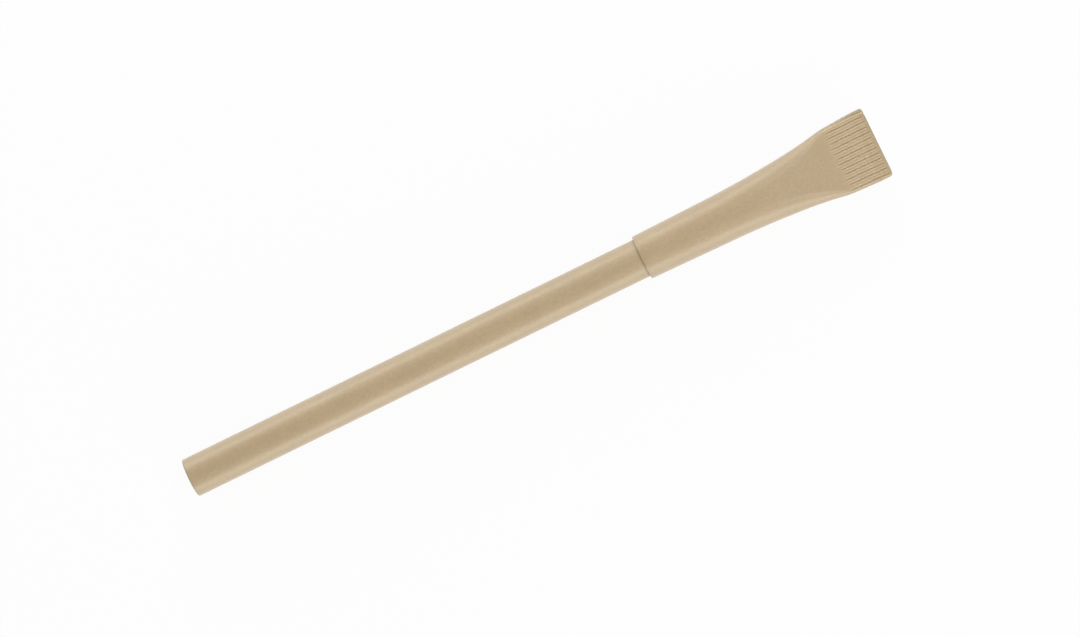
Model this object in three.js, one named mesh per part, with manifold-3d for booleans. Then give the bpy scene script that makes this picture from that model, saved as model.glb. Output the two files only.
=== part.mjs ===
// A capped stick ballpoint pen whose barrel and cap are rolled from brown kraft board.
// The cap is a sleeve of board, flattened and crimped shut at its far end like a tube of paste.
// Millimetres, +Z up. The pen lies along X with its cap towards +X and its crimp level,
// and the origin is on the table under the middle of the pen.

import * as THREE from 'three';
import { mergeVertices } from 'three/addons/utils/BufferGeometryUtils.js';
import Module from 'manifold-3d';

const wasm = await Module();
wasm.setup();

// Barrel: a wound greyboard core in a kraft facing, open at both ends
const barrelDiameter = 8.0;
const visibleBarrel = 100.3;
const barrelIntoCap = 16.0;
const coreWall = 0.9;
const facingWall = 0.2;
const glueLine = 0.05;
const seamWidth = 0.16;
const rearEdgeRadius = 0.35;

// Plug in the rear end of the barrel
const plugDepth = 7.0;
const plugFloor = 1.6;
const plugWall = 0.8;
const plugRecess = 0.15;
const plugChamfer = 0.2;
const pressClearance = 0.05;

// Nose: a moulded cone with a spigot that is pressed into the front of the barrel
const noseLength = 12.5;
const noseSetIn = 0.2;
const noseCollarLength = 1.2;
const noseTipDiameter = 3.5;
const noseBulge = 0.45;
const noseEdgeRadius = 0.2;
const spigotLength = 9.0;
const spigotGap = 0.2;
const spigotLead = 0.6;
const crushRibs = 6;
const crushRibWidth = 0.5;
const crushRibEnds = 0.8;
const seatClearance = 0.05;
const neckSetBack = 0.05;

// Refill: a plastic tube, its ink, the tip holder, the metal point and its ball
const tubeDiameter = 3.0;
const tubeWall = 0.55;
const tubeLength = 104.0;
const inkEmpty = 14.0;
const holderNeckDiameter = 2.5;
const holderNeckLength = 3.35;
const holderFlange = 1.0;
const holderSpigotLength = 5.0;
const holderChannel = 1.0;
const pointDiameter = 2.2;
const pointParallel = 1.0;
const pointConeLength = 2.7;
const pointShankDiameter = 1.6;
const pointShankLength = 2.8;
const pointInkBore = 0.9;
const pointFeedBore = 0.5;
const pointFeedLength = 1.2;
const ballDiameter = 1.0;
const ballShareOut = 0.3;
const ballClearance = 0.025;
const ballSeatAngle = 40;
const lipWall = 0.09;
const fitClearance = 0.05;

// Cap: a sleeve that keeps its length round its section as it flattens
const capWall = 0.55;
const slideClearance = 0.05;
const mouthChamfer = 0.1;
const roundMargin = 0.5;
const sleeveSwell = 0.655;
const swellLength = 30.0;
const tipRoom = 9.8;
const flattenEaseIn = 12.5;
const flattenEaseOut = 5.0;
const flattenSlope = 0.75;
const crimpOpening = 1.8;
const crimpTaper = 7.0;
const crimpBand = 9.7;
const crimpSeal = 1.0;
const crimpCorner = 0.7;

// Crimp grooves, pressed into both faces
const grooveCount = 12;
const groovePitch = 1.107;
const grooveWidth = 0.34;
const grooveDepth = 0.15;
const grooveShift = -0.28;
const grooveStart = 0.6;
const grooveMargin = 0.8;
const grooveRunOut = 0.5;
const grooveSplay = 2.0;

// Fineness of the facets. The sleeve's points crowd together under and over it where it is round,
// so that it rolls and lies smoothly, and at its folds where it is flat
const barrelSegments = 64;
const partSegments = 40;
const smallSegments = 28;
const ballSegments = 24;
const ballRings = 14;
const sleeveSegments = 72;
const roundCrowding = 0.75;
const foldCrowding = 0.6;
const flattenSteps = 15;
const edgeSteps = 4;
const bulgeSteps = 8;

// Places along the pen, measured from the cap's mouth
const barrelRear = -visibleBarrel;
const barrelFront = barrelIntoCap;
const neckFront = barrelFront + noseLength - neckSetBack;
const coneFront = neckFront + seatClearance + pointParallel + pointConeLength;
const ballRadius = ballDiameter / 2;
const ballCentre = coneFront + ballShareOut * ballDiameter - ballRadius;
const tipReach = ballCentre + ballRadius;
const crimpStart = tipReach + tipRoom;
const capLength = crimpStart + crimpBand;
const overallLength = visibleBarrel + capLength;

// Diameters that follow from the fits
const coreOuter = barrelDiameter - 2 * (facingWall + glueLine);
const coreBore = coreOuter - 2 * coreWall;
const tubeBore = tubeDiameter - 2 * tubeWall;
const capMouthBore = barrelDiameter + 2 * slideClearance;
const axisHeight = capMouthBore / 2 + capWall;

const finishes = {
  facing: { color: 0xb0966f, roughness: 0.8 },
  core: { color: 0x9c8f7e, roughness: 0.9 },
  sleeve: { color: 0xb79f7a, roughness: 0.8 },
  plug: { color: 0xa48d68, roughness: 0.55 },
  nose: { color: 0xc8ae83, roughness: 0.45 },
  tube: { color: 0xe6e4dc, roughness: 0.3 },
  ink: { color: 0x14172e, roughness: 0.25 },
  holder: { color: 0xe9e6dc, roughness: 0.35 },
  point: { color: 0xc9c2b2, roughness: 0.28, metalness: 1.0 },
  ball: { color: 0x8c8d90, roughness: 0.15, metalness: 1.0 },
};

// A named piece in its own material
function piece(name, geometry, finish) {
  const mesh = new THREE.Mesh(geometry, new THREE.MeshStandardMaterial(finishes[finish]));
  mesh.name = name;
  return mesh;
}

// Revolves a closed outline of [radius, distance along X] points about the X axis
function turned(outline, segments) {
  const points = outline.map(([radius, along]) => new THREE.Vector2(radius, along));
  const onAxis = outline[0][0] === 0 && outline.at(-1)[0] === 0;
  if (!onAxis) points.push(points[0].clone());
  const geometry = new THREE.LatheGeometry(points, segments);
  geometry.rotateZ(-Math.PI / 2);
  return geometry;
}

// The points of an arc in an outline, its angles in degrees from the radial direction
function arc(centreRadius, centreAlong, radius, from, to, steps) {
  const points = [];
  for (let i = 0; i <= steps; i += 1) {
    const angle = THREE.MathUtils.degToRad(from + ((to - from) * i) / steps);
    points.push([centreRadius + radius * Math.cos(angle), centreAlong + radius * Math.sin(angle)]);
  }
  return points;
}

// Turns a closed geometry into a solid that can be joined and cut
function toSolid(geometry) {
  const bare = geometry.clone();
  bare.deleteAttribute('normal');
  bare.deleteAttribute('uv');
  const merged = mergeVertices(bare, 1e-4);
  return new wasm.Manifold(new wasm.Mesh({
    numProp: 3,
    vertProperties: new Float32Array(merged.attributes.position.array),
    triVerts: new Uint32Array(merged.index.array),
  }));
}

function toGeometry(solid) {
  const mesh = solid.getMesh();
  const geometry = new THREE.BufferGeometry();
  geometry.setAttribute('position', new THREE.BufferAttribute(mesh.vertProperties, 3));
  geometry.setIndex(new THREE.BufferAttribute(mesh.triVerts, 1));
  geometry.computeVertexNormals();
  return geometry;
}

// Closes a stack of rings, each with as many points as the next, with a flat fan at both ends
function loft(rings) {
  const positions = [];
  const triangles = [];
  const size = rings[0].length;
  for (const ring of rings) {
    for (const point of ring) positions.push(...point);
  }
  for (let r = 0; r + 1 < rings.length; r += 1) {
    for (let i = 0; i < size; i += 1) {
      const here = r * size + i;
      const beside = r * size + ((i + 1) % size);
      triangles.push(here, beside, here + size, beside, beside + size, here + size);
    }
  }
  const addEnd = (ringIndex, flip) => {
    const first = ringIndex * size;
    const centre = positions.length / 3;
    const middle = [0, 1, 2].map((k) => rings[ringIndex].reduce((sum, p) => sum + p[k], 0) / size);
    positions.push(...middle);
    for (let i = 0; i < size; i += 1) {
      const a = first + i;
      const b = first + ((i + 1) % size);
      triangles.push(...(flip ? [centre, b, a] : [centre, a, b]));
    }
  };
  addEnd(0, true);
  addEnd(rings.length - 1, false);
  const geometry = new THREE.BufferGeometry();
  geometry.setAttribute('position', new THREE.Float32BufferAttribute(positions, 3));
  geometry.setIndex(triangles);
  return geometry;
}

// Barrel core: a plain wound tube
function barrelCore() {
  const outline = [
    [coreBore / 2, barrelRear],
    [coreOuter / 2, barrelRear],
    [coreOuter / 2, barrelFront],
    [coreBore / 2, barrelFront],
  ];
  return turned(outline, barrelSegments);
}

// Barrel facing: one turn of kraft whose edges meet in a fine seam underneath,
// rolled over the rear end of the core
function barrelFacing() {
  const outer = barrelDiameter / 2;
  const inner = outer - facingWall;
  const rollCentre = outer - rearEdgeRadius;
  const innerAngle = THREE.MathUtils.radToDeg(Math.acos((inner - rollCentre) / rearEdgeRadius));
  const outline = [
    ...arc(rollCentre, barrelRear + rearEdgeRadius, rearEdgeRadius, -innerAngle, 0, edgeSteps),
    [outer, barrelFront],
    [inner, barrelFront],
  ];
  const sheet = toSolid(turned(outline, barrelSegments));
  const seamReach = 2 * facingWall;
  const seamLength = barrelFront - barrelRear + 2 * seamReach;
  const seam = new THREE.BoxGeometry(seamLength, seamWidth, facingWall + 2 * seamReach);
  seam.translate((barrelFront + barrelRear) / 2, 0, -(inner + facingWall / 2));
  return toGeometry(sheet.subtract(toSolid(seam)));
}

// Rear plug: a shallow cup, its floor outwards and set in a little from the barrel's edge
function endPlug() {
  const radius = coreBore / 2 - pressClearance;
  const face = barrelRear + plugRecess;
  const outline = [
    [0, face],
    [radius - plugChamfer, face],
    [radius, face + plugChamfer],
    [radius, face + plugDepth],
    [radius - plugWall, face + plugDepth],
    [radius - plugWall, face + plugFloor],
    [0, face + plugFloor],
  ];
  return turned(outline, partSegments);
}

// Nose: spigot, collar and a slightly bulging cone, bored in two steps for the refill
function noseCone() {
  const start = barrelFront + seatClearance;
  const collar = barrelDiameter / 2 - noseSetIn;
  const spigot = coreBore / 2 - spigotGap;
  const wideBore = tubeDiameter / 2 + fitClearance;
  const narrowBore = holderNeckDiameter / 2 + fitClearance;
  const tip = noseTipDiameter / 2;
  const front = barrelFront + noseLength;
  const step = neckFront - holderNeckLength + fitClearance;
  const coneStart = start + noseCollarLength;
  const coneEnd = front - noseEdgeRadius;
  const bulge = new THREE.QuadraticBezierCurve(
    new THREE.Vector2(collar, coneStart),
    new THREE.Vector2((collar + tip) / 2 + noseBulge, (coneStart + coneEnd) / 2),
    new THREE.Vector2(tip, coneEnd),
  );
  const outline = [
    [wideBore, barrelFront - spigotLength],
    [spigot - spigotLead / 2, barrelFront - spigotLength],
    [spigot, barrelFront - spigotLength + spigotLead],
    [spigot, start],
    [collar, start],
    ...bulge.getPoints(bulgeSteps).map((point) => [point.x, point.y]),
    ...arc(tip - noseEdgeRadius, coneEnd, noseEdgeRadius, 0, 90, edgeSteps).slice(1),
    [narrowBore, front],
    [narrowBore, step],
    [wideBore, step],
  ];
  let nose = toSolid(turned(outline, partSegments));
  const ribTop = coreBore / 2 - pressClearance;
  const ribLength = spigotLength - spigotLead - crushRibEnds;
  const ribRoot = (spigot + wideBore) / 2;
  for (let i = 0; i < crushRibs; i += 1) {
    const rib = new THREE.BoxGeometry(ribLength, crushRibWidth, ribTop - ribRoot);
    rib.translate(barrelFront - crushRibEnds - ribLength / 2, 0, (ribTop + ribRoot) / 2);
    rib.rotateX((2 * Math.PI * i) / crushRibs);
    nose = nose.add(toSolid(rib));
  }
  return toGeometry(nose);
}

const flangeBack = neckFront - holderNeckLength - holderFlange;

// Refill tube: its front end butts against the tip holder's flange
function refillTube() {
  const front = flangeBack - fitClearance;
  const outline = [
    [tubeBore / 2, front - tubeLength],
    [tubeDiameter / 2, front - tubeLength],
    [tubeDiameter / 2, front],
    [tubeBore / 2, front],
  ];
  return turned(outline, smallSegments);
}

// Ink: it fills the tube from behind the tip holder, and leaves the rear end empty
function inkColumn() {
  const radius = tubeBore / 2 - fitClearance;
  const front = flangeBack - holderSpigotLength - fitClearance;
  const rear = flangeBack - fitClearance - tubeLength + inkEmpty;
  return turned([[0, rear], [radius, rear], [radius, front], [0, front]], smallSegments);
}

// Tip holder: a spigot in the tube, a flange between tube and nose, and a neck round the shank
function tipHolder() {
  const spigot = tubeBore / 2 - fitClearance;
  const socket = pointShankDiameter / 2 + fitClearance;
  const socketFloor = neckFront - pointShankLength - fitClearance;
  const outline = [
    [holderChannel / 2, flangeBack - holderSpigotLength],
    [spigot, flangeBack - holderSpigotLength],
    [spigot, flangeBack],
    [tubeDiameter / 2, flangeBack],
    [tubeDiameter / 2, flangeBack + holderFlange],
    [holderNeckDiameter / 2, flangeBack + holderFlange],
    [holderNeckDiameter / 2, neckFront],
    [socket, neckFront],
    [socket, socketFloor],
    [holderChannel / 2, socketFloor],
  ];
  return turned(outline, smallSegments);
}

// Point: shank, parallel head and writing cone, with the ink bore, the feed bore and
// the ball's socket, whose lip closes in past the ball's widest place
function pointBody() {
  const head = pointDiameter / 2;
  const headBack = neckFront + seatClearance;
  const coneStart = headBack + pointParallel;
  const shankBack = neckFront - pointShankLength;
  const socket = ballRadius + ballClearance;
  const lipAngle = Math.asin((coneFront - ballCentre) / socket);
  const lipInner = socket * Math.cos(lipAngle);
  const seatAngle = THREE.MathUtils.degToRad(ballSeatAngle);
  const seatBack = ballCentre - socket / Math.sin(seatAngle)
    + pointFeedBore / 2 / Math.tan(seatAngle);
  const lipDegrees = THREE.MathUtils.radToDeg(lipAngle);
  const outline = [
    [pointInkBore / 2, shankBack],
    [pointShankDiameter / 2, shankBack],
    [pointShankDiameter / 2, headBack],
    [head, headBack],
    [head, coneStart],
    [lipInner + lipWall, coneFront],
    ...arc(0, ballCentre, socket, lipDegrees, -ballSeatAngle, edgeSteps),
    [pointFeedBore / 2, seatBack],
    [pointFeedBore / 2, seatBack - pointFeedLength],
    [pointInkBore / 2, seatBack - pointFeedLength - pointInkBore / 2],
  ];
  return turned(outline, smallSegments);
}

function pointBall() {
  const ball = new THREE.SphereGeometry(ballRadius, ballSegments, ballRings);
  ball.rotateZ(-Math.PI / 2);
  ball.translate(ballCentre, 0, 0);
  return ball;
}

// Girth of the cap: the diameter that the middle of its wall would have if it were round
function sleeveGirth(along) {
  const mouth = capMouthBore + capWall;
  return mouth + sleeveSwell * Math.min(along / swellLength, 1);
}

// Stations of the cap along X with the height of the middle of its wall:
// round over the barrel, eased down to the crimp, tapered in the crimp, then shut
function sleeveStations() {
  const full = capMouthBore + capWall;
  const roundLength = barrelIntoCap + roundMargin;
  const flatten = new THREE.CubicBezierCurve(
    new THREE.Vector2(roundLength, full),
    new THREE.Vector2(roundLength + flattenEaseIn, full),
    new THREE.Vector2(crimpStart - flattenEaseOut, crimpOpening + flattenEaseOut * flattenSlope),
    new THREE.Vector2(crimpStart, crimpOpening),
  );
  const sealDrop = ((crimpOpening - capWall) * crimpSeal) / crimpTaper;
  const stations = [
    { along: 0, height: full },
    { along: mouthChamfer, height: full },
    { along: roundLength / 2, height: full },
    ...flatten.getPoints(flattenSteps).map((point) => ({ along: point.x, height: point.y })),
    { along: crimpStart + crimpSeal, height: crimpOpening - sealDrop },
    { along: crimpStart + crimpTaper, height: capWall },
  ];
  const cornerStart = capLength - crimpCorner;
  for (let i = 0; i <= edgeSteps; i += 1) {
    const turn = (Math.PI / 2) * (i / edgeSteps);
    stations.push({ along: cornerStart + crimpCorner * Math.sin(turn), height: capWall });
  }
  return stations;
}

// How far the rounded corners of the shut end draw the edge in
function cornerInset(along) {
  const into = THREE.MathUtils.clamp(along - (capLength - crimpCorner), 0, crimpCorner);
  return crimpCorner - Math.sqrt(crimpCorner ** 2 - into ** 2);
}

// One ring of the cap's wall: two half circles joined by straights,
// moved out by offset from the middle of the wall
function sleeveRing({ along, height }, offset) {
  const radius = height / 2;
  const girth = Math.PI * sleeveGirth(along);
  const straight = (girth - Math.PI * height) / 2 - 2 * cornerInset(along);
  const length = 2 * straight + 2 * Math.PI * radius;
  const round = (height - capWall) / capMouthBore;
  const crowding = THREE.MathUtils.lerp(foldCrowding, -roundCrowding, round);
  const ring = [];
  for (let i = 0; i < sleeveSegments; i += 1) {
    const even = i / sleeveSegments;
    const share = even - (crowding / (4 * Math.PI)) * Math.sin(4 * Math.PI * even);
    const quarter = Math.abs(((share + 0.25) % 0.5) - 0.25);
    const fromFold = quarter * length;
    const angle = Math.min(fromFold / radius, Math.PI / 2);
    const past = Math.max(0, fromFold - (Math.PI / 2) * radius);
    const side = share > 0.25 && share < 0.75 ? -1 : 1;
    const face = share < 0.5 ? 1 : -1;
    const y = straight / 2 - past + (radius + offset) * Math.cos(angle);
    const z = (radius + offset) * Math.sin(angle);
    ring.push([along, side * y, face * z]);
  }
  return ring;
}

// Half the thickness of the cap at a place along it
function sleeveFace(along) {
  const stations = sleeveStations();
  const next = stations.findIndex((station) => station.along >= along);
  const a = stations[Math.max(next - 1, 0)];
  const b = stations[next];
  const share = (along - a.along) / (b.along - a.along || 1);
  return (a.height + share * (b.height - a.height) + capWall) / 2;
}

// One crimp groove: a three-sided bar that follows the face of the crimp and runs out at its ends
function crimpGroove(index, face) {
  const across = (index - (grooveCount - 1) / 2) * groovePitch;
  const splay = THREE.MathUtils.degToRad((grooveSplay * (grooveCount - 1 - index)) / (grooveCount - 1));
  const start = crimpStart + grooveStart;
  const end = capLength - grooveMargin;
  const knee = crimpStart + crimpTaper;
  const clear = 2 * grooveDepth;
  const stops = [
    [start, 0],
    [start + grooveRunOut, grooveDepth],
    [knee, grooveDepth],
    [end - grooveRunOut, grooveDepth],
    [end, 0],
  ];
  const rings = stops.map(([along, depth]) => {
    const y = grooveShift + across - (along - start) * Math.tan(splay);
    const z = sleeveFace(along);
    const spread = (grooveWidth / 2) * (1 + clear / grooveDepth);
    return [
      [along, y - spread, z + clear],
      [along, y, z - depth],
      [along, y + spread, z + clear],
    ].map(([px, py, pz]) => (face > 0 ? [px, py, pz] : [px, -py + 2 * y, -pz]));
  });
  return loft(rings);
}

// Cap: the outer skin less the inner one, with the grooves of the crimp cut in both faces
function capSleeve() {
  const stations = sleeveStations();
  const skin = stations.map((station) => {
    const chamfer = station.along === 0 ? mouthChamfer : 0;
    return sleeveRing(station, capWall / 2 - chamfer);
  });
  const sealAt = crimpStart + crimpSeal;
  const hollow = stations
    .filter((station) => station.along <= sealAt)
    .map((station) => sleeveRing(station, -capWall / 2));
  const before = hollow[0].map(([along, y, z]) => [along - capWall, y, z]);
  let sleeve = toSolid(loft(skin)).subtract(toSolid(loft([before, ...hollow])));
  for (let i = 0; i < grooveCount; i += 1) {
    for (const face of [1, -1]) sleeve = sleeve.subtract(toSolid(crimpGroove(i, face)));
  }
  return toGeometry(sleeve);
}

const barrel = new THREE.Group();
barrel.add(
  piece('barrel_core_tube', barrelCore(), 'core'),
  piece('barrel_facing', barrelFacing(), 'facing'),
  piece('end_plug', endPlug(), 'plug'),
  piece('nose_cone', noseCone(), 'nose'),
);

const refill = new THREE.Group();
refill.add(
  piece('refill_tube', refillTube(), 'tube'),
  piece('ink_column', inkColumn(), 'ink'),
  piece('tip_holder', tipHolder(), 'holder'),
  piece('point_body', pointBody(), 'point'),
  piece('point_ball', pointBall(), 'ball'),
);

const cap = new THREE.Group();
cap.add(piece('cap_sleeve', capSleeve(), 'sleeve'));

const pen = new THREE.Group();
pen.add(barrel, refill, cap);
pen.position.set(overallLength / 2 - capLength, 0, axisHeight);

export default pen;
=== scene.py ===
"""The looks of a capped stick ballpoint pen, its barrel and cap rolled from brown kraft board."""

import math

import bmesh
import bpy
from mathutils import Matrix, Vector


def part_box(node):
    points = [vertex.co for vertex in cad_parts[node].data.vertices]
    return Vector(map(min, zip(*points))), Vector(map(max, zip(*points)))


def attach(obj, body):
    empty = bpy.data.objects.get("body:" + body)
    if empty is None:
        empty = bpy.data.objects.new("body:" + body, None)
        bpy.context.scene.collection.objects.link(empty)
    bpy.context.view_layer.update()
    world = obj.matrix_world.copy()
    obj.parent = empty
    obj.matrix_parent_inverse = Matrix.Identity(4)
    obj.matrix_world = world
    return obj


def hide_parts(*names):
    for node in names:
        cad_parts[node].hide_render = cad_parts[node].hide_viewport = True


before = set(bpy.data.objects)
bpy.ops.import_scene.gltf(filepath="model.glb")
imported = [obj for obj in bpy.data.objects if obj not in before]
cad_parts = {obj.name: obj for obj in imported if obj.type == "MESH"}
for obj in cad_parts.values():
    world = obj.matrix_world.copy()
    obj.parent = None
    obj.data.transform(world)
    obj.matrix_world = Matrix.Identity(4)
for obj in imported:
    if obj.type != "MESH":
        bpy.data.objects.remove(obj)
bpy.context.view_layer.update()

# Lengths are in millimetres in the frame of the part: the pen lies along X with its crimp at +X,
# and Z is up. MM turns them into metres.
MM = 0.001


def node_box(node):
    """The lowest and the highest corner of a node, in millimetres."""
    low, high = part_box(node)
    return low / MM, high / MM


core_low, core_high = node_box("barrel_core_tube")
facing_high = node_box("barrel_facing")[1]
plug_low, plug_high = node_box("end_plug")
nose_low, nose_high = node_box("nose_cone")
tube_low, tube_high = node_box("refill_tube")
ink_low, ink_high = node_box("ink_column")
holder_low, holder_high = node_box("tip_holder")
point_low, point_high = node_box("point_body")
ball_low, ball_high = node_box("point_ball")
cap_low, cap_high = node_box("cap_sleeve")

# Places along the pen and radii that the frame gives
AXIS = (core_low.z + core_high.z) / 2
REAR = core_low.x
FRONT = core_high.x
MOUTH = cap_low.x
CAP_LENGTH = cap_high.x - MOUTH
CAP_RADIUS = AXIS - cap_low.z
BARREL_RADIUS = facing_high.y
CORE_RADIUS = core_high.y

# A point of an outline that is nearer to the pen's axis than this is a pole
ON_AXIS = 0.0005

# An edge whose faces meet at more than this many degrees stays sharp
SHARP_ANGLE = 35.0

# Barrel and plug
FACING_WALL = 0.2
GLUE_LINE = 0.01
REAR_EDGE = 0.24
SEAM_GAP = 0.12
CORE_WALL = 0.9
CORE_BORE = CORE_RADIUS - CORE_WALL
CORE_PLIES = 6
PLUG_FLOOR = 1.6
PLUG_WALL = 0.8

# Nose
NOSE_COLLAR = 1.2
NOSE_TIP = 1.75
NOSE_BULGE = 0.45
NOSE_EDGE = 0.2
SPIGOT = 2.65
SPIGOT_LEAD = 0.6
CRUSH_RIBS = 6
CRUSH_RIB_WIDTH = 0.5
CRUSH_RIB_ENDS = 0.8
WIDE_BORE = 1.55
NARROW_BORE = 1.3
BORE_STEP = 3.3

# Refill
TUBE_BORE = 0.95
HOLDER_SPIGOT = 5.0
HOLDER_FLANGE = 1.0
HOLDER_NECK = 1.25
HOLDER_CHANNEL = 0.5
SHANK_LENGTH = 2.8
SHANK = 0.8
SHANK_SOCKET = 0.85
POINT_PARALLEL = 1.0
POINT_LIP = 0.575
INK_BORE = 0.45
FEED_BORE = 0.25
FEED_LENGTH = 1.2
BALL_SOCKET = 0.525
BALL_SEAT = 40.0
FIT = 0.05

# Cap, with the same named sizes in the tree of geometry nodes
CAP_WALL = 0.55
CAP_SIZES = {
    "Mouth": MOUTH,
    "Axis height": AXIS,
    "Length": CAP_LENGTH,
    "Wall": CAP_WALL,
    "Round diameter": 2 * CAP_RADIUS - CAP_WALL,
    "Swell": 0.655,
    "Swell length": 30.0,
    "Round length": 16.5,
    "Ease in": 12.5,
    "Ease out": 5.0,
    "Ease slope": 0.75,
    "Crimp start": 42.3,
    "Crimp opening": 1.8,
    "Crimp taper": 7.0,
    "Crimp corner": 0.7,
    "Mouth edge": 0.09,
    "End edge": 0.24,
    "Ply slit": 0.1,
    "Crimp easing": 1.2,
    "Crimp drift": 0.28,
    "Unevenness": 0.05,
    "Groove pitch": 1.107,
    "Groove shift": -0.28,
    "Groove splay": math.tan(math.radians(2.0)),
    "Groove start": 0.3,
    "Groove stagger": 0.8,
    "Groove run-in": 1.05,
    "Groove margin": 0.6,
    "Groove end stagger": 0.3,
    "Groove run-out": 0.35,
    "Groove depth": 0.11,
    "Groove half width": 0.2,
    "Groove wander": 0.08,
    "Lip place": 0.3,
    "Lip half width": 0.14,
    "Lip height": 0.035,
    "Rib crown": 0.02,
    "Fold easing": 1.0,
    "Ledge width": 0.97,
    "Ledge reach": 13.0,
    "Ledge depth": 0.1,
    "Ledge slope start": 0.15,
    "Ledge slope end": 0.05,
    "Ply edge half width": 0.17,
    "Ply edge height": 0.02,
    "Fold shade width": 0.8,
    "Fold shade share": 0.6,
    "Seed": 3.0,
}
GROOVES = 12
CAP_COLUMNS = 600

# Shade is painted in each groove, mostly in place of the groove's own shade and partly as the
# darker pressed board:
# full up to the first distance from the middle of a groove, and less and less up to the second
GROOVE_SHADE = (0.02, 0.18)

# The rows of the cap's wall, from the shut end of its inside out to the mouth and back outside
CAP_ROWS = {
    "crimp inside": 8,
    "flatten inside": 16,
    "round inside": 4,
    "rim": 8,
    "round": 10,
    "flatten": 44,
    "crimp": 60,
    "edge": 8,
}

# Points of the cap's wall that are nearer to each other than this become one
SAME_POINT = 0.002

# The camera stands almost straight over the pen, a little towards the crimp
AIM = Vector((0.6, -1.96, AXIS))
CAMERA_DISTANCE = 1200.0
CAMERA_LEAN = math.radians(3.5)
AXIS_RISE = math.radians(26.02)
LENS = 201.2

# Light: two soft lamps over the crimp, and a low one along each side that gives the paper its
# sheen. Places and sizes are in metres, power in watts.
AMBIENT = 0.2
FLOOR_GLOW = 0.94
LAMPS = {
    "lamp_crimp_far": {"place": (0.42, 0.5, 0.95), "size": (0.5, 0.5), "power": 4.15},
    "lamp_crimp_near": {"place": (0.42, -0.5, 0.95), "size": (0.5, 0.5), "power": 4.15},
    "lamp_far": {"place": (0.0, 0.8, 0.2), "size": (1.4, 0.4), "power": 6.8},
    "lamp_near": {"place": (0.0, -0.8, 0.2), "size": (1.4, 0.4), "power": 6.8},
}

# The table reaches this far from the pen's middle in metres, and lies this far under the pen
TABLE_REACH = 3.0
TABLE_GAP = 0.02


def is_vector(value):
    """Whether a number, a tuple, a Vector or a Wire stands for three numbers."""
    if isinstance(value, Wire):
        return value.socket.type == "VECTOR"
    return isinstance(value, (tuple, Vector))


class Wire:
    """A socket that arithmetic works on, in a material or in a tree of geometry nodes."""

    def __init__(self, tree, socket):
        self.tree = tree
        self.socket = socket

    def join(self, operation, *values):
        """A maths node on these values, of the vector kind if one of them is a vector."""
        vectors = any(is_vector(value) for value in values)
        if vectors:
            values = [(v, v, v) if isinstance(v, (int, float)) else v for v in values]
        kind = "ShaderNodeVectorMath" if vectors else "ShaderNodeMath"
        return self.tree.add(kind, {"operation": operation}, dict(enumerate(values)))

    def __add__(self, other):
        return self.join("ADD", self, other)

    def __radd__(self, other):
        return self.join("ADD", other, self)

    def __sub__(self, other):
        return self.join("SUBTRACT", self, other)

    def __rsub__(self, other):
        return self.join("SUBTRACT", other, self)

    def __mul__(self, other):
        return self.join("MULTIPLY", self, other)

    def __rmul__(self, other):
        return self.join("MULTIPLY", other, self)

    def __truediv__(self, other):
        return self.join("DIVIDE", self, other)

    def __rtruediv__(self, other):
        return self.join("DIVIDE", other, self)

    def __lt__(self, other):
        return self.join("LESS_THAN", self, other)

    def __gt__(self, other):
        return self.join("GREATER_THAN", self, other)

    def __neg__(self):
        return 0.0 - self

    def __abs__(self):
        return self.join("ABSOLUTE", self)

    def least(self, other):
        return self.join("MINIMUM", self, other)

    def most(self, other):
        return self.join("MAXIMUM", self, other)

    def nearest_whole(self):
        return self.join("ROUND", self)

    def fraction(self):
        return self.join("FRACT", self)

    def sine(self):
        return self.join("SINE", self)

    def cosine(self):
        return self.join("COSINE", self)

    def root(self):
        return self.join("SQRT", self)

    def part(self, start, end):
        """How far the value has gone from start to end, kept within 0 and 1."""
        return ((self - start) / (end - start)).most(0.0).least(1.0)

    def smooth(self, start, end):
        """As part(), with a gentle start and end."""
        share = self.part(start, end)
        return share * share * (3.0 - 2.0 * share)

    def x_y_z(self):
        """The three parts of a vector."""
        node = self.tree.add("ShaderNodeSeparateXYZ", {}, {0: self}).socket.node
        return [Wire(self.tree, output) for output in node.outputs]


class Tree:
    """A node tree, with one method that adds a node of any kind to it."""

    def __init__(self, tree):
        self.tree = tree
        tree.nodes.clear()

    def add(self, kind, settings=None, sockets=None, give=0):
        """Makes the settings first, then fills or links the sockets. Returns one output."""
        node = self.tree.nodes.new(kind)
        for name, value in (settings or {}).items():
            setattr(node, name, value)
        for name, value in (sockets or {}).items():
            if isinstance(value, Wire):
                self.tree.links.new(value.socket, node.inputs[name])
            else:
                node.inputs[name].default_value = value
        return Wire(self, node.outputs[give]) if node.outputs else None

    def mix(self, share, first, second):
        """Two colours mixed by a share."""
        sockets = {0: share, 6: first, 7: second}
        return self.add("ShaderNodeMix", {"data_type": "RGBA"}, sockets, give=2)

    def noise(self, point, scale, detail=2.0, roughness=0.5):
        """Soft noise from -0.5 to 0.5, with scale in waves to the unit of the point."""
        sockets = {"Vector": point, "Scale": scale, "Detail": detail, "Roughness": roughness}
        return self.add("ShaderNodeTexNoise", {}, sockets) - 0.5


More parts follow.
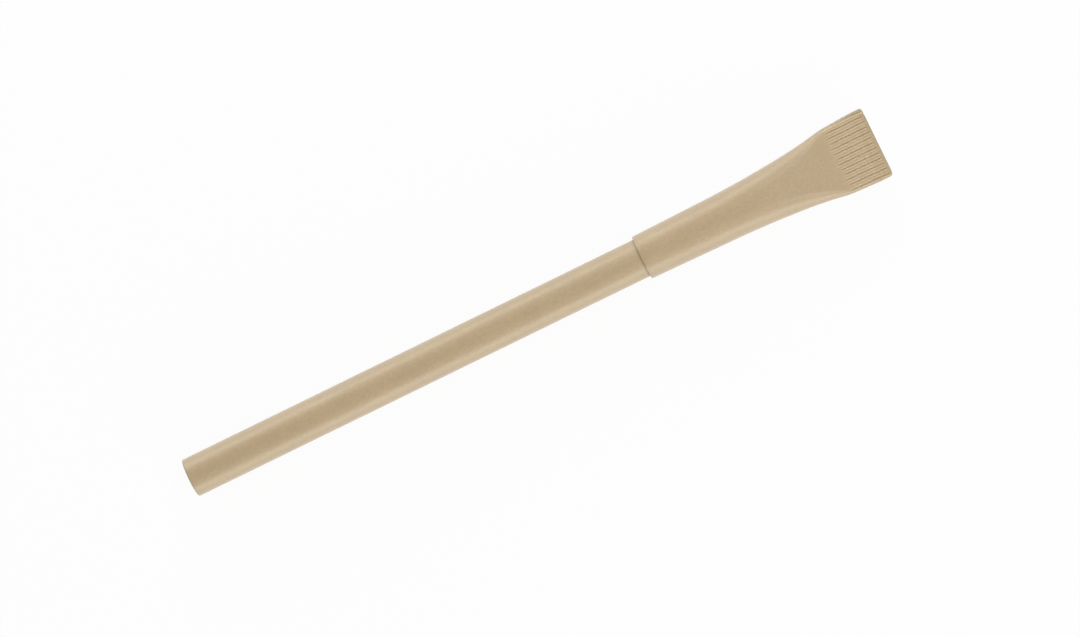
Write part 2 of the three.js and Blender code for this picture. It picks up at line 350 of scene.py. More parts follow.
class Finish(Tree):
    """A material while it is built. Its point is the place on the object in millimetres."""

    def __init__(self, name):
        self.material = bpy.data.materials.new(name)
        self.material.use_nodes = True
        super().__init__(self.material.node_tree)
        self.point = self.add("ShaderNodeTexCoord", give="Object") * (1 / MM)

    def cloud(self, scale, stretch=(1.0, 1.0, 1.0), detail=2.0, roughness=0.5):
        """Soft noise on the object, with scale in waves to the millimetre."""
        return self.noise(self.point * stretch, scale, detail, roughness)

    def attribute(self, name):
        """A number that the mesh carries."""
        return self.add("ShaderNodeAttribute", {"attribute_name": name}, give="Fac")

    def shade(self, colour, roughness, height, lift, constants=None):
        """Ends the material. The height is in units of lift, which is in millimetres."""
        bump = {"Height": height, "Distance": lift * MM, "Strength": 1.0}
        sockets = {
            "Base Color": colour,
            "Roughness": roughness,
            "Normal": self.add("ShaderNodeBump", {}, bump),
            **(constants or {}),
        }
        surface = self.add("ShaderNodeBsdfPrincipled", {}, sockets)
        self.add("ShaderNodeOutputMaterial", {}, {"Surface": surface})
        return self.material


def rgb(red, green, blue):
    return (red, green, blue, 1.0)


def times(colour, factor):
    return rgb(*(channel * factor for channel in colour[:3]))


KRAFT = rgb(0.375, 0.267, 0.129)
KRAFT_SPECK = times(KRAFT, 0.55)
# A painted highlight on the lips beside the grooves
KRAFT_LIP_HIGHLIGHT = times(KRAFT, 1.3)
# A painted highlight along the edge of the outer ply
KRAFT_PLY_RIDGE_HIGHLIGHT = times(KRAFT, 1.5)
KRAFT_RAW = rgb(0.24, 0.195, 0.125)
# Painted shade in the grooves, partly the darker pressed board
KRAFT_GROOVE_SHADE = rgb(0.28, 0.19, 0.08)
# Painted shade on the ledge and the crimp's folds
KRAFT_FOLD_SHADE = rgb(0.31, 0.235, 0.112)
GREYBOARD = rgb(0.36, 0.30, 0.225)
GREYBOARD_PLY_LINE = times(GREYBOARD, 0.5)
NOSE_BEIGE = rgb(0.55, 0.42, 0.25)
PLUG_BROWN = rgb(0.37, 0.27, 0.15)
HOLDER_WHITE = rgb(0.80, 0.78, 0.70)
TUBE_MILKY = rgb(0.80, 0.78, 0.73)
INK_BLUE_BLACK = rgb(0.009, 0.012, 0.055)
NICKEL_SILVER = rgb(0.60, 0.56, 0.48)
CARBIDE = rgb(0.42, 0.43, 0.45)
CARBIDE_INKED = rgb(0.12, 0.13, 0.22)
WHITE = rgb(1.0, 1.0, 1.0)
TABLE_WHITE = rgb(0.8, 0.8, 0.8)


def toned(finish, tone, colour, spread):
    """A colour made darker and lighter by a tone about 0."""
    share = tone.part(-spread, spread)
    return finish.mix(share, times(colour, 1 - spread), times(colour, 1 + spread))


def kraft(name):
    """Calendered kraft: soft clouds, fine mottle, long fibres along the pen and a few specks.

    The attributes of a piece mark what was done to it and where light is painted: cut at its raw
    edges, a mark along the edge of the outer ply where a highlight is painted, a mark on the ledge
    and the crimp's folds where shade is painted, and grooved where grooves are pressed in, with
    painted shade in them and painted highlights on their lips. groove_count grows by one from
    each groove to the next and is whole in the middle of each.
    """
    finish = Finish(name)
    clouds = finish.cloud(0.16, detail=3.0)
    mottle = finish.cloud(1.6, detail=3.0, roughness=0.6)
    fibres = finish.cloud(1.0, (0.8, 6.0, 6.0), detail=4.0, roughness=0.65)
    threads = finish.cloud(1.0, (2.2, 14.0, 14.0))
    specks = finish.cloud(2.1, (0.6, 1.0, 1.0), detail=1.0).smooth(0.22, 0.30)
    cut = finish.attribute("cut")
    ply_ridge_highlight = finish.attribute("ply_ridge_highlight")
    fold_shade = finish.attribute("fold_shade")
    grooved = finish.attribute("grooved")
    count = finish.attribute("groove_count")
    nearest = count.nearest_whole().most(0.0).least(GROOVES - 1.0)
    off_groove = abs(count - nearest) * CAP_SIZES["Groove pitch"]
    off_lip = abs(off_groove - CAP_SIZES["Lip place"])
    groove_shade = grooved * (1.0 - off_groove.smooth(*GROOVE_SHADE))
    lip = grooved * (1.0 - off_lip.smooth(0.0, CAP_SIZES["Lip half width"]))
    tone = clouds * 0.12 + mottle * 0.26 + fibres * 0.3 + threads * 0.2
    colour = toned(finish, tone, KRAFT, spread=0.25)
    colour = finish.mix(specks * 0.35, colour, KRAFT_SPECK)
    raw = toned(finish, finish.cloud(5.0, detail=3.0), KRAFT_RAW, spread=0.35)
    colour = finish.mix(cut, colour, raw)
    # Painted shade on the ledge and the crimp's folds
    colour = finish.mix(fold_shade, colour, KRAFT_FOLD_SHADE)
    # A painted highlight on the lips beside each groove
    colour = finish.mix(lip, colour, KRAFT_LIP_HIGHLIGHT)
    # A painted highlight along the edge of the outer ply
    colour = finish.mix(ply_ridge_highlight, colour, KRAFT_PLY_RIDGE_HIGHLIGHT)
    # Painted shade in each groove, partly the darker pressed board
    colour = finish.mix(groove_shade, colour, KRAFT_GROOVE_SHADE)
    height = fibres * 0.5 + threads * 0.3 + mottle * 0.35
    roughness = 0.42 + mottle * 0.1 + cut * 0.3
    constants = {"Specular IOR Level": 0.55, "Sheen Weight": 0.46, "Sheen Roughness": 0.7}
    return finish.shade(colour, roughness, height, lift=0.012, constants=constants)


def wound_greyboard():
    """The core's board, coarser and greyer than the kraft, with its plies showing at the ends."""
    finish = Finish("wound_greyboard")
    pulp = finish.cloud(2.4, detail=4.0, roughness=0.7)
    fibres = finish.cloud(1.2, (0.8, 5.0, 5.0), detail=3.0)
    colour = toned(finish, pulp * 0.25 + fibres * 0.15, GREYBOARD, spread=0.3)
    colour = finish.mix(finish.attribute("ply"), colour, GREYBOARD_PLY_LINE)
    roughness = 0.85 + pulp * 0.1
    constants = {"Specular IOR Level": 0.3}
    return finish.shade(colour, roughness, pulp + fibres * 0.5, lift=0.02, constants=constants)


def moulded(name, colour, roughness, parting=0.0):
    """Moulded plastic with the spark grain of its mould and streaks of flow.

    parting is half the width of a parting line level with the pen's axis, or 0 for none.
    """
    finish = Finish(name)
    spark = finish.cloud(9.0, detail=3.0, roughness=0.7)
    flow = finish.cloud(0.35, (0.4, 1.0, 1.0))
    height = spark
    if parting:
        level = finish.point.x_y_z()[2]
        line = 1.0 - abs(level - AXIS).smooth(0.0, parting)
        height = spark + line * 3.0
    colour = toned(finish, flow * 0.12 + spark * 0.06, colour, spread=0.1)
    return finish.shade(colour, roughness + spark * 0.08, height, lift=0.004)


def milky_plastic():
    """The milky, bendable plastic of the ink tube, with the fine lines of its die."""
    finish = Finish("milky_plastic")
    haze = finish.cloud(0.6, (0.3, 1.0, 1.0))
    die_lines = finish.cloud(1.0, (0.05, 9.0, 9.0))
    colour = toned(finish, haze * 0.2, TUBE_MILKY, spread=0.1)
    roughness = 0.28 + die_lines * 0.1
    constants = {"Transmission Weight": 0.7, "IOR": 1.49}
    return finish.shade(colour, roughness, die_lines, lift=0.004, constants=constants)


def ink_paste():
    """Thick blue-black ink."""
    finish = Finish("ink_paste")
    swirl = finish.cloud(0.9, (0.3, 1.0, 1.0), detail=3.0)
    colour = toned(finish, swirl, INK_BLUE_BLACK, spread=0.3)
    roughness = 0.18 + swirl * 0.08
    return finish.shade(colour, roughness, swirl, lift=0.01, constants={"Coat Weight": 0.4})


def turned_nickel_silver():
    """Metal with the fine rings that a turning tool leaves round it."""
    finish = Finish("turned_nickel_silver")
    rings = finish.cloud(1.0, (26.0, 0.25, 0.25), detail=3.0, roughness=0.6)
    stain = finish.cloud(1.4)
    colour = toned(finish, stain * 0.12 + rings * 0.10, NICKEL_SILVER, spread=0.15)
    roughness = 0.3 + rings * 0.12 + stain * 0.06
    return finish.shade(colour, roughness, rings, lift=0.003, constants={"Metallic": 1.0})


def polished_carbide():
    """The ball's sintered carbide: dark, bright and finely pitted, with a trace of ink."""
    finish = Finish("polished_carbide")
    pits = finish.cloud(14.0, detail=3.0, roughness=0.7)
    film = finish.cloud(2.0).smooth(0.05, 0.3)
    colour = finish.mix(film * 0.5, CARBIDE, CARBIDE_INKED)
    roughness = 0.12 + pits * 0.1
    return finish.shade(colour, roughness, pits, lift=0.002, constants={"Metallic": 1.0})


def rounded(corners, steps=6):
    """An outline through (x, radius) corners. A third number is the radius of that corner's arc."""
    outline = []
    for i, corner in enumerate(corners):
        here = Vector(corner[:2])
        if len(corner) == 2:
            outline.append(here)
            continue
        fillet = corner[2]
        to_last = (Vector(corners[i - 1][:2]) - here).normalized()
        to_next = (Vector(corners[(i + 1) % len(corners)][:2]) - here).normalized()
        half = to_last.angle(to_next) / 2
        centre = here + (to_last + to_next).normalized() * fillet / math.sin(half)
        first = here + to_last * fillet / math.tan(half) - centre
        last = here + to_next * fillet / math.tan(half) - centre
        for step in range(steps + 1):
            outline.append(centre + first.lerp(last, step / steps).normalized() * fillet)
    return outline


def bow(start, handle, end, steps=12):
    """Points of a curve from start to end that leans towards handle."""
    start, handle, end = Vector(start), Vector(handle), Vector(end)
    shares = [step / steps for step in range(steps + 1)]
    return [start.lerp(handle, t).lerp(handle.lerp(end, t), t) for t in shares]


def arc(x, radius, size, start, end, steps=6):
    """Points round (x, radius). Angles are in degrees from straight out towards +X."""
    angles = [math.radians(start + (end - start) * step / steps) for step in range(steps + 1)]
    return [Vector((x + size * math.sin(a), radius + size * math.cos(a))) for a in angles]


def in_steps(outline, longest):
    """The outline with its long stretches cut up, for a warp to follow."""
    cut = []
    for here, following in zip(outline, [*outline[1:], outline[0]]):
        pieces = max(1, math.ceil((following - here).length / longest))
        cut += [here.lerp(following, k / pieces) for k in range(pieces)]
    return cut


def as_made(x, radius, angle):
    """The warp that leaves every point where it is."""
    return x, radius


def turned(outline, segments, warp=as_made, gap=0.0, marks=None):
    """A mesh turned about the pen's axis from a closed outline of (x, radius) points.

    warp gives the x and radius that the point at x, radius and angle gets, with the angle from
    straight up towards +Y. gap leaves a slit of that width underneath. marks is the name of an
    attribute and the function of x, radius and angle that fills it.
    """
    mesh = bmesh.new()
    opening = gap / max(radius for x, radius in outline)
    turns = segments + 1 if gap else segments
    rings = []
    places = []
    for x, radius in outline:
        ring = []
        for i in range(turns if radius > ON_AXIS else 1):
            angle = math.pi + opening / 2 + (2 * math.pi - opening) * i / segments
            along, out = warp(x, radius, angle)
            place = Vector((along, out * math.sin(angle), AXIS + out * math.cos(angle)))
            ring.append(mesh.verts.new(place * MM))
            places.append((x, radius, angle))
        rings.append(ring)
    pairs = list(zip(rings, rings[1:]))
    if len(rings[0]) > 1:
        pairs.append((rings[-1], rings[0]))
    for one, two in pairs:
        for i in range(segments):
            j = (i + 1) % turns
            corners = [one[i % len(one)], one[j % len(one)], two[j % len(two)], two[i % len(two)]]
            corners = list(dict.fromkeys(corners))
            if len(corners) > 2:
                mesh.faces.new(corners)
    if gap:
        mesh.faces.new([ring[0] for ring in rings])
        mesh.faces.new([ring[-1] for ring in rings])
    bmesh.ops.recalc_face_normals(mesh, faces=mesh.faces)
    data = bpy.data.meshes.new("turned")
    mesh.to_mesh(data)
    mesh.free()
    if marks:
        name, mark = marks
        layer = data.attributes.new(name, "FLOAT", "POINT")
        layer.data.foreach_set("value", [mark(*place) for place in places])
    return data


def dress(node, name, data, material, body):
    """Puts a finished mesh on its body in the place of the CAD node that it stands for."""
    data.name = name
    data.polygons.foreach_set("use_smooth", [True] * len(data.polygons))
    data.set_sharp_from_angle(angle=math.radians(SHARP_ANGLE))
    data.materials.clear()
    data.materials.append(material)
    piece = bpy.data.objects.new(name, data)
    bpy.context.scene.collection.objects.link(piece)
    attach(piece, body)
    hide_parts(node)


def barrel_skin():
    """The kraft facing, rolled over the core's rear end, with its edges meeting underneath."""
    inner = BARREL_RADIUS - FACING_WALL
    roll = BARREL_RADIUS - REAR_EDGE
    lean = math.degrees(math.acos((inner - roll) / REAR_EDGE))
    front_edge = 0.05
    longest = 2.5
    unevenness = 0.008
    seam_lift = 0.012
    seam_angle = 0.08
    raw_fade = 1.6
    outline = [
        *arc(REAR + REAR_EDGE, roll, REAR_EDGE, -lean, 0, 8),
        *arc(FRONT - front_edge, BARREL_RADIUS - front_edge, front_edge, 0, 90, 3),
        Vector((FRONT, inner)),
    ]

    def uneven(x, radius, angle):
        wave = 0.5 * math.sin(0.21 * x + 2 * angle) + 0.3 * math.sin(0.53 * x - 3 * angle + 1)
        from_seam = math.pi - abs(angle - 2 * math.pi)
        lifted = math.exp(-(from_seam / seam_angle) ** 2)
        return x, radius + unevenness * wave + seam_lift * lifted

    def rolled(x, radius, angle):
        return max(0.0, min(1.0, raw_fade * (1 - (x - REAR) / REAR_EDGE)))

    return turned(in_steps(outline, longest), 160, uneven, SEAM_GAP, ("cut", rolled))


def core_tube():
    """The wound greyboard tube. Its ends show the spiral of its plies."""
    ply = CORE_WALL / CORE_PLIES
    outer = BARREL_RADIUS - FACING_WALL - GLUE_LINE
    chamfer = 0.1
    chamfer_length = 0.03
    line_share = 0.22
    line_depth = 0.03
    steps = CORE_PLIES * 6
    step = (CORE_WALL - chamfer) / steps
    radii = [CORE_BORE + step * i for i in range(steps + 1)]
    outline = [Vector((REAR, radius)) for radius in radii]
    outline += [Vector((REAR + chamfer_length, outer)), Vector((FRONT - chamfer_length, outer))]
    outline += [Vector((FRONT, radius)) for radius in reversed(radii)]

    def ply_line(x, radius, angle):
        between = ((radius - CORE_BORE) / ply + angle / (2 * math.pi)) % 1.0
        return max(0.0, 1.0 - min(between, 1.0 - between) / line_share)

    def sunk(x, radius, angle):
        depth = line_depth * ply_line(x, radius, angle)
        if x == outline[0].x and radius > CORE_BORE:
            return x + depth, radius
        return x, radius

    def shown(x, radius, angle):
        return ply_line(x, radius, angle) if radius < outer else 0.0

    return turned(outline, 144, sunk, marks=("ply", shown))


def rear_plug():
    """A shallow cup, floor outwards, with the stub of its gate in a dimple."""
    face = plug_low.x
    back = plug_high.x
    radius = plug_high.y
    gate = face + 0.18
    dimple = face + 0.32
    return turned(rounded([
        (gate, 0.0),
        (gate, 0.30, 0.05),
        (dimple, 0.36, 0.03),
        (dimple, 0.80, 0.12),
        (face, 1.05, 0.10),
        (face, radius, 0.20),
        (back, radius, 0.25),
        (back, radius - PLUG_WALL, 0.10),
        (face + PLUG_FLOOR, radius - PLUG_WALL, 0.30),
        (face + PLUG_FLOOR, 0.0),
    ]), 96)


def nose():
    """Spigot with crush ribs, collar and a slightly bulging cone."""
    back = nose_low.x
    seat = FRONT + FIT
    collar = nose_high.y
    cone_start = seat + NOSE_COLLAR
    front = nose_high.x
    cone_end = front - NOSE_EDGE
    step = holder_high.x - BORE_STEP
    rib_start = back + SPIGOT_LEAD
    rib_end = FRONT - CRUSH_RIB_ENDS
    rib_ease = 0.3
    rib_height = plug_high.y - SPIGOT
    bore_edge = 0.05
    middle = ((cone_start + cone_end) / 2, (collar + NOSE_TIP) / 2 + NOSE_BULGE)
    outline = [
        Vector((back, WIDE_BORE)),
        *rounded([
            (back, SPIGOT - SPIGOT_LEAD / 2),
            (rib_start, SPIGOT),
            (rib_start + rib_ease, SPIGOT),
            (rib_end - rib_ease, SPIGOT),
            (rib_end, SPIGOT),
            (seat, SPIGOT),
            (seat, collar, 0.12),
            (cone_start, collar),
        ])[:-1],
        *bow((cone_start, collar), middle, (cone_end, NOSE_TIP), 24),
        *arc(cone_end, NOSE_TIP - NOSE_EDGE, NOSE_EDGE, 0, 90)[1:],
        Vector((front, NARROW_BORE + bore_edge)),
        Vector((front - bore_edge, NARROW_BORE)),
        Vector((step, NARROW_BORE)),
        Vector((step, WIDE_BORE)),
    ]

    def ribbed(x, radius, angle):
        spacing = 2 * math.pi / CRUSH_RIBS
        aside = abs((angle + spacing / 2) % spacing - spacing / 2) * SPIGOT
        across = max(0.0, 1 - (2 * aside / CRUSH_RIB_WIDTH) ** 2) ** 0.5
        along = min((x - rib_start) / rib_ease, (rib_end - x) / rib_ease, 1.0)
        if radius < SPIGOT - FIT or along < 0:
            return x, radius
        return x, radius + rib_height * across * along

    return turned(outline, 180, ribbed)


def ink_tube():
    """The refill's tube, its ends cut square and a little rounded by the knife."""
    rear = tube_low.x
    front = tube_high.x
    outer = tube_high.y
    return turned(in_steps(rounded([
        (rear, TUBE_BORE, 0.06),
        (rear, outer, 0.08),
        (front, outer, 0.08),
        (front, TUBE_BORE, 0.06),
    ], 3), 8.0), 64)


def ink():
    """The ink, hollow at its rear end where it creeps along the tube."""
    radius = ink_high.y
    rear = ink_low.x
    front = ink_high.x
    return turned(in_steps([
        *bow((rear + 0.55, 0.0), (rear + 0.5, 0.8 * radius), (rear, radius)),
        Vector((front, radius)),
        Vector((front, 0.0)),
    ], 8.0), 48)


def holder():
    """The tip holder: a barbed spigot in the tube, a flange, and a neck round the point's shank."""
    back = holder_low.x
    flange = back + HOLDER_SPIGOT
    front = holder_high.x
    neck_start = flange + HOLDER_FLANGE
    socket_floor = front - SHANK_LENGTH - FIT
    spigot = TUBE_BORE - FIT
    barb_root = spigot - 0.07
    barb_length = 1.2
    barbs = []
    for i in range(3):
        start = back + 0.4 + i * barb_length
        crest = start + barb_length - 0.15
        barbs += [(start, barb_root), (crest, spigot, 0.03), (crest + 0.05, barb_root)]
    return turned(rounded([
        (back, HOLDER_CHANNEL),
        (back, spigot - 0.12, 0.05),
        *barbs,
        (flange, barb_root),
        (flange, tube_high.y, 0.1),
        (neck_start, tube_high.y, 0.1),
        (neck_start, HOLDER_NECK, 0.05),
        (front, HOLDER_NECK, 0.1),
        (front, SHANK_SOCKET, 0.03),
        (socket_floor, SHANK_SOCKET),
        (socket_floor, HOLDER_CHANNEL),
    ], 4), 72)


def point():
    """The metal point: shank, head and writing cone, bored for the ink, with the ball's socket."""
    back = point_low.x
    front = point_high.x
    head = point_high.y
    head_back = holder_high.x + FIT
    relief_start = head_back - 0.25
    relief = SHANK - 0.06
    cone_start = head_back + POINT_PARALLEL
    centre = (ball_low.x + ball_high.x) / 2
    lip_angle = math.asin((front - centre) / BALL_SOCKET)
    lip_inner = BALL_SOCKET * math.cos(lip_angle)
    seat = math.radians(BALL_SEAT)
    seat_back = centre - BALL_SOCKET / math.sin(seat) + FEED_BORE / math.tan(seat)
    burnish = 0.3
    steep = (head - POINT_LIP) / (front - cone_start)
    return turned([
        *rounded([
            (back, INK_BORE, 0.04),
            (back, SHANK, 0.12),
            (relief_start, SHANK),
            (relief_start + 0.05, relief),
            (head_back, relief),
            (head_back, head, 0.10),
            (cone_start, head, 0.15),
            (front - burnish, POINT_LIP + burnish * steep),
            (front, POINT_LIP, 0.02),
            (front, lip_inner),
        ], 5),
        *arc(centre, 0.0, BALL_SOCKET, math.degrees(lip_angle), -BALL_SEAT, 12),
        Vector((seat_back, FEED_BORE)),
        Vector((seat_back - FEED_LENGTH, FEED_BORE)),
        Vector((seat_back - FEED_LENGTH - INK_BORE, INK_BORE)),
    ], 96)


def ball():
    """The writing ball."""
    centre = (ball_low.x + ball_high.x) / 2
    radius = (ball_high.x - ball_low.x) / 2
    return turned(arc(centre, 0.0, radius, -90, 90, 36), 64)


def eased(share, first, second, third, fourth):
    """The value at a share of the way along a cubic curve with these four control values."""
    rest = 1.0 - share
    ends = rest * rest * rest * first + share * share * share * fourth
    return ends + 3.0 * rest * share * (rest * second + share * third)


def hump(distance, half_width):
    """1 at no distance, going softly down to 0 at half_width."""
    share = (distance / half_width).least(1.0)
    return 0.5 + 0.5 * (share * math.pi).cosine()


def pressed_grooves(tree, size, along, across, room):
    """The grooves of the crimp, which splay a little and start and stop unevenly.

    Gives how much they reach a place, their count up to there, and what they add to the wall.
    room is 1 where the wall can have grooves and 0 elsewhere.
    """
    begin = size["Crimp start"] + size["Groove start"]
    into = along - begin
    splay = size["Groove splay"]
    spread = size["Groove pitch"] + into * splay / (GROOVES - 1)
    count = (across - size["Groove shift"] + into * splay / 2) / spread
    place = tree.add("ShaderNodeCombineXYZ", {}, {0: along * 0.5, 1: across})
    wander = tree.noise(place, 1.0) * size["Groove wander"]
    count = count + (GROOVES - 1) / 2 + wander
    groove = count.nearest_whole().most(0.0).least(GROOVES - 1.0)

    def chance(draw):
        """A number about 0 that stays the same along one groove."""
        value = {"W": groove + size["Seed"] + draw}
        return tree.add("ShaderNodeTexWhiteNoise", {"noise_dimensions": "1D"}, value) - 0.5

    first = begin + size["Groove stagger"] * chance(0.1)
    last = size["Length"] - size["Groove margin"] + size["Groove end stagger"] * chance(0.6)
    begun = along.part(first, first + size["Groove run-in"])
    ended = along.part(last - size["Groove run-out"], last)
    reach = begun * (1.0 - ended) * room
    aside = abs(count - groove)
    off_groove = aside * spread
    depth = size["Groove depth"] * hump(off_groove, size["Groove half width"])
    lip = size["Lip height"] * hump(abs(off_groove - size["Lip place"]), size["Lip half width"])
    crown = size["Rib crown"] * (1.0 - 2.0 * aside).most(0.0)
    return reach, count, (lip - depth - crown) * reach


def outer_ply(size, along, to_fold, crimped, on_top):
    """The edge of the outer ply, which lies on top along one fold of the crimp.

    Gives the ledge beside it, the edge itself, which carries a painted highlight, and where shade
    is painted on the board: all of the ledge, and some of both folds.
    """
    reach = along.part(size["Crimp start"] - size["Ledge reach"], size["Length"])
    width = size["Ledge width"] * reach
    slope = to_fold.smooth(width - size["Ledge slope start"], width - size["Ledge slope end"])
    ledge = on_top * (1.0 - slope)
    off_edge = abs(to_fold - width) / size["Ply edge half width"]
    # The ply's raised edge, which also carries a painted highlight
    ply_ridge_highlight = on_top * (1.0 - off_edge.smooth(0.0, 1.0))
    # Shade is painted on all of the ledge and on part of both folds
    fold_shade_width = size["Fold shade width"]
    folded = crimped * (1.0 - to_fold.part(fold_shade_width / 3.0, fold_shade_width))
    return ledge, ply_ridge_highlight, ledge.most(folded * size["Fold shade share"])


def sleeve_tree(material):
    """The cap's wall as a tree of geometry nodes: one grid, folded into a sleeve by a rule.

    A column of the grid is a share of the girth, and a row is a step from the shut end of the
    inside out to the mouth, round its rim, and back along the outside to the crimped end.
    """
    group = bpy.data.node_groups.new("crimped_board_sleeve", "GeometryNodeTree")
    tree = Tree(group)
    for name in CAP_SIZES:
        group.interface.new_socket(name=name, in_out="INPUT", socket_type="NodeSocketFloat")
    group.interface.new_socket(name="Sleeve", in_out="OUTPUT", socket_type="NodeSocketGeometry")
    size = {name: tree.add("NodeGroupInput", give=name) for name in CAP_SIZES}

    rows = sum(CAP_ROWS.values())
    grid = tree.add("GeometryNodeMeshGrid", {}, {
        "Size X": 1.0, "Size Y": float(rows), "Vertices X": CAP_COLUMNS + 1, "Vertices Y": rows + 1,
    })
    across, down, _ = tree.add("GeometryNodeInputPosition").x_y_z()
    share = across + 0.5
    row = down + rows / 2
    done = {}
    start = 0
    for name, count in CAP_ROWS.items():
        done[name] = row.part(start, start + count)
        start += count

    # The height of the middle of the wall while the sleeve goes from round to flat
    wall = size["Wall"]
    opening = size["Crimp opening"]
    crimp_start = size["Crimp start"]
    length = size["Length"]
    end_edge = size["End edge"]
    full = size["Round diameter"]
    flatness = (1.0 - done["flatten inside"]) + done["flatten"]
    round_length = size["Round length"]
    ease_out = size["Ease out"]
    eased_along = eased(flatness, round_length, round_length + size["Ease in"],
                        crimp_start - ease_out, crimp_start)
    eased_height = eased(flatness, full, full, opening + ease_out * size["Ease slope"], opening)

    # Where along the cap a row is, with the turn of the wall round the rim of the mouth and the
    # rounded edges and the slit between the plies at the crimped end
    round_share = done["round inside"] - done["round"]
    mouth_edge = size["Mouth edge"]
    turn = -(done["rim"] * math.pi).cosine()
    into_corner = (abs(turn) * wall / 2 - (wall / 2 - mouth_edge)).most(0.0)
    rim_bulge = (mouth_edge * mouth_edge - into_corner * into_corner).most(0.0).root()
    into_crimp = size["Crimp taper"] * (1.0 - done["crimp inside"])
    into_crimp = into_crimp + (length - end_edge - crimp_start) * done["crimp"]
    edge_turn = done["edge"].part(0.0, 0.5) * (math.pi / 2)
    shut = done["edge"].part(0.5, 1.0)
    slit = size["Ply slit"] * shut.part(0.7, 1.0)
    along = eased_along - (round_length - mouth_edge) * round_share - rim_bulge
    along = along + into_crimp + end_edge * edge_turn.sine() - slit

    # The height in the crimp, which tapers to the end and starts without a kink
    taper = (opening - wall) / size["Crimp taper"]
    height = eased_height - (taper * into_crimp).least(opening - wall)
    easing = size["Crimp easing"]
    near_start = (easing - abs(along - crimp_start)).most(0.0)
    height = height + (size["Ease slope"] - taper) * near_start * near_start / (4.0 * easing)

    # The ring at that place: two half rounds joined by straights
    girth = math.pi * (full + size["Swell"] * (along / size["Swell length"]).most(0.0).least(1.0))
    corner = size["Crimp corner"]
    into_end = (along - (length - corner)).most(0.0).least(corner)
    inset = corner - (corner * corner - into_end * into_end).most(0.0).root()
    straight = ((girth - math.pi * height) / 2 - 2.0 * inset).most(0.0)
    round_trip = 2.0 * straight + math.pi * height
    radius = height / 2
    from_fold = abs((2.0 * share + 0.5).fraction() / 2 - 0.25) * round_trip
    bend = (from_fold / radius).least(math.pi / 2)
    past = (from_fold - radius * (math.pi / 2)).most(0.0)
    side = 1.0 - 2.0 * ((share > 0.25) * (share < 0.75))
    face = 1.0 - 2.0 * (share > 0.5)
    outer = turn * wall / 2 - end_edge * (1.0 - edge_turn.cosine())
    thick = (radius + outer) * (1.0 - shut)
    flat_y = side * (straight / 2 - past + thick * bend.cosine())

    # What the press leaves on the outside of the crimp, and where shade and highlights are painted
    # on it
    outside = done["rim"] * (1.0 - shut)
    reach, count, raised = pressed_grooves(tree, size, along, flat_y, outside)
    fold_easing = size["Fold easing"]
    crimped = along.smooth(crimp_start - fold_easing, crimp_start + fold_easing) * outside
    on_top = (side > 0.0) * (face > 0.0) * crimped
    to_fold = straight / 2 + radius + wall / 2 - abs(flat_y)
    ledge, ply_ridge_highlight, fold_shade = outer_ply(size, along, to_fold, crimped, on_top)

    # The place, with the slow waves of rolled board
    waves = tree.add("ShaderNodeCombineXYZ", {}, {0: along * 0.12, 1: share * 4.0})
    waves = tree.noise(waves, 1.0) * size["Unevenness"] * flatness * (1.0 - shut)
    thick = thick + raised + waves
    y = side * (straight / 2 - past + thick * bend.cosine())
    y = y + size["Crimp drift"] * along.part(round_length, length)
    thick = thick - size["Ledge depth"] * ledge + size["Ply edge height"] * ply_ridge_highlight
    z = face * thick * bend.sine()
    place = tree.add("ShaderNodeCombineXYZ", {}, {
        0: (size["Mouth"] + along) * MM, 1: y * MM, 2: (size["Axis height"] + z) * MM,
    })

    # The cut edges of the board are the rim without its two corners, and the crimped end
    cut = done["rim"].part(0.0, 0.2) * (1.0 - done["rim"].part(0.8, 1.0))
    cut = cut + done["edge"].part(0.0, 0.25)
    marks = {
        "cut": cut, "ply_ridge_highlight": ply_ridge_highlight, "fold_shade": fold_shade,
        "grooved": reach, "groove_count": count,
    }
    sleeve = grid
    for name, value in marks.items():
        sleeve = tree.add("GeometryNodeStoreNamedAttribute", {"data_type": "FLOAT"}, {
            "Geometry": sleeve, "Name": name, "Value": value,
        })
    steps = {
        "GeometryNodeSetPosition": {"Position": place},
        "GeometryNodeMergeByDistance": {"Distance": SAME_POINT * MM},
        "GeometryNodeSetShadeSmooth": {},
        "GeometryNodeRealizeInstances": {},
        "GeometryNodeSetMaterial": {"Material": material},
    }
    for kind, sockets in steps.items():
        sleeve = tree.add(kind, {}, {"Geometry": sleeve, **sockets})
    tree.add("NodeGroupOutput", {}, {"Sleeve": sleeve})
    return group


def made_by(group, sizes):
    """The plain mesh that a tree of geometry nodes makes with these sizes."""
    carrier = bpy.data.objects.new("carrier", bpy.data.meshes.new("carrier"))
    bpy.context.scene.collection.objects.link(carrier)
    modifier = carrier.modifiers.new("shape", "NODES")
    modifier.node_group = group
    for item in group.interface.items_tree:
        if item.in_out == "INPUT":
            modifier[item.identifier] = sizes[item.name]
    evaluated = carrier.evaluated_get(bpy.context.evaluated_depsgraph_get())
    data = bpy.data.meshes.new_from_object(evaluated)
    carrier.modifiers.remove(modifier)
    bpy.data.objects.remove(carrier)
    return data


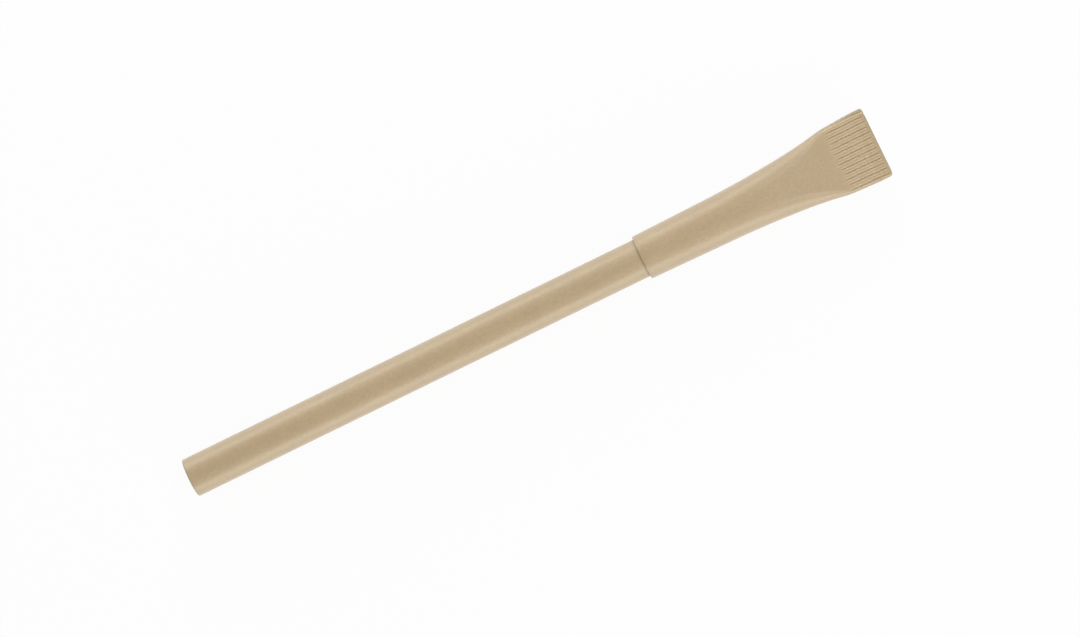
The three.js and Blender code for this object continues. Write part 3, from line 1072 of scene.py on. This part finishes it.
def camera():
    """The photo's camera, with the pen rising to the right."""
    towards = Vector((math.sin(CAMERA_LEAN), 0.0, math.cos(CAMERA_LEAN)))
    pen = Vector((math.cos(CAMERA_LEAN), 0.0, -math.sin(CAMERA_LEAN)))
    over = towards.cross(pen)
    right = pen * math.cos(AXIS_RISE) - over * math.sin(AXIS_RISE)
    up = pen * math.sin(AXIS_RISE) + over * math.cos(AXIS_RISE)
    place = (AIM + towards * CAMERA_DISTANCE) * MM
    turn = Matrix((right, up, towards)).transposed().to_4x4()
    view = bpy.data.objects.new("camera", bpy.data.cameras.new("camera"))
    view.matrix_world = Matrix.Translation(place) @ turn
    view.data.sensor_width = 36.0
    view.data.lens = LENS
    view.data.clip_end = 10.0
    bpy.context.scene.collection.objects.link(view)
    bpy.context.scene.camera = view


def soft_lamp(name, place, size, power):
    """A soft rectangular lamp that faces the middle of the pen."""
    light = bpy.data.lights.new(name, "AREA")
    light.shape = "RECTANGLE"
    light.size, light.size_y = size
    light.energy = power
    lamp = bpy.data.objects.new(name, light)
    lamp.location = place
    lamp.rotation_euler = Vector(place).to_track_quat("Z", "Y").to_euler()
    bpy.context.scene.collection.objects.link(lamp)


def seen_directly(tree):
    """1 for rays from the camera, from gloss and through glass, which see the white backdrop."""
    kinds = [
        tree.add("ShaderNodeLightPath", give=name)
        for name in ("Is Camera Ray", "Is Glossy Ray", "Is Transmission Ray")
    ]
    return kinds[0].most(kinds[1]).most(kinds[2])


def studio():
    """White surroundings, a white table that keeps a faint shadow, and the lamps."""
    world = bpy.data.worlds.new("white_room")
    world.use_nodes = True
    bpy.context.scene.world = world
    tree = Tree(world.node_tree)
    strength = AMBIENT + (1.0 - AMBIENT) * seen_directly(tree)
    light = tree.add("ShaderNodeBackground", {}, {"Color": WHITE, "Strength": strength})
    tree.add("ShaderNodeOutputWorld", {}, {"Surface": light})

    material = bpy.data.materials.new("white_table")
    material.use_nodes = True
    tree = Tree(material.node_tree)
    paper = tree.add("ShaderNodeBsdfDiffuse", {}, {"Color": TABLE_WHITE})
    glow = tree.add("ShaderNodeEmission", {}, {"Color": WHITE, "Strength": 1.0})
    share = FLOOR_GLOW * seen_directly(tree)
    surface = tree.add("ShaderNodeMixShader", {}, {0: share, 1: paper, 2: glow})
    tree.add("ShaderNodeOutputMaterial", {}, {"Surface": surface})
    sides = ((-1, -1), (1, -1), (1, 1), (-1, 1))
    corners = [(x * TABLE_REACH, y * TABLE_REACH, -TABLE_GAP * MM) for x, y in sides]
    data = bpy.data.meshes.new("table")
    data.from_pydata(corners, [], [(0, 1, 2, 3)])
    data.materials.append(material)
    table = bpy.data.objects.new("table", data)
    bpy.context.scene.collection.objects.link(table)

    for name, lamp in LAMPS.items():
        soft_lamp(name, **lamp)


camera()
studio()

facing_kraft = kraft("facing_kraft")
cap_kraft = kraft("cap_kraft")
cap_sleeve = made_by(sleeve_tree(cap_kraft), CAP_SIZES)

dress("barrel_facing", "barrel_skin", barrel_skin(), facing_kraft, "barrel")
dress("barrel_core_tube", "core_tube", core_tube(), wound_greyboard(), "barrel")
dress("end_plug", "rear_plug", rear_plug(),
      moulded("plug_plastic", PLUG_BROWN, roughness=0.45), "barrel")
dress("nose_cone", "nose", nose(),
      moulded("nose_plastic", NOSE_BEIGE, roughness=0.38, parting=0.06), "barrel")
dress("refill_tube", "ink_tube", ink_tube(), milky_plastic(), "barrel")
dress("ink_column", "ink", ink(), ink_paste(), "barrel")
dress("tip_holder", "holder", holder(),
      moulded("holder_plastic", HOLDER_WHITE, roughness=0.35), "barrel")
dress("point_body", "point", point(), turned_nickel_silver(), "barrel")
dress("point_ball", "ball", ball(), polished_carbide(), "ball")
dress("cap_sleeve", "cap", cap_sleeve, cap_kraft, "cap")

bpy.context.scene.view_settings.view_transform = "Standard"
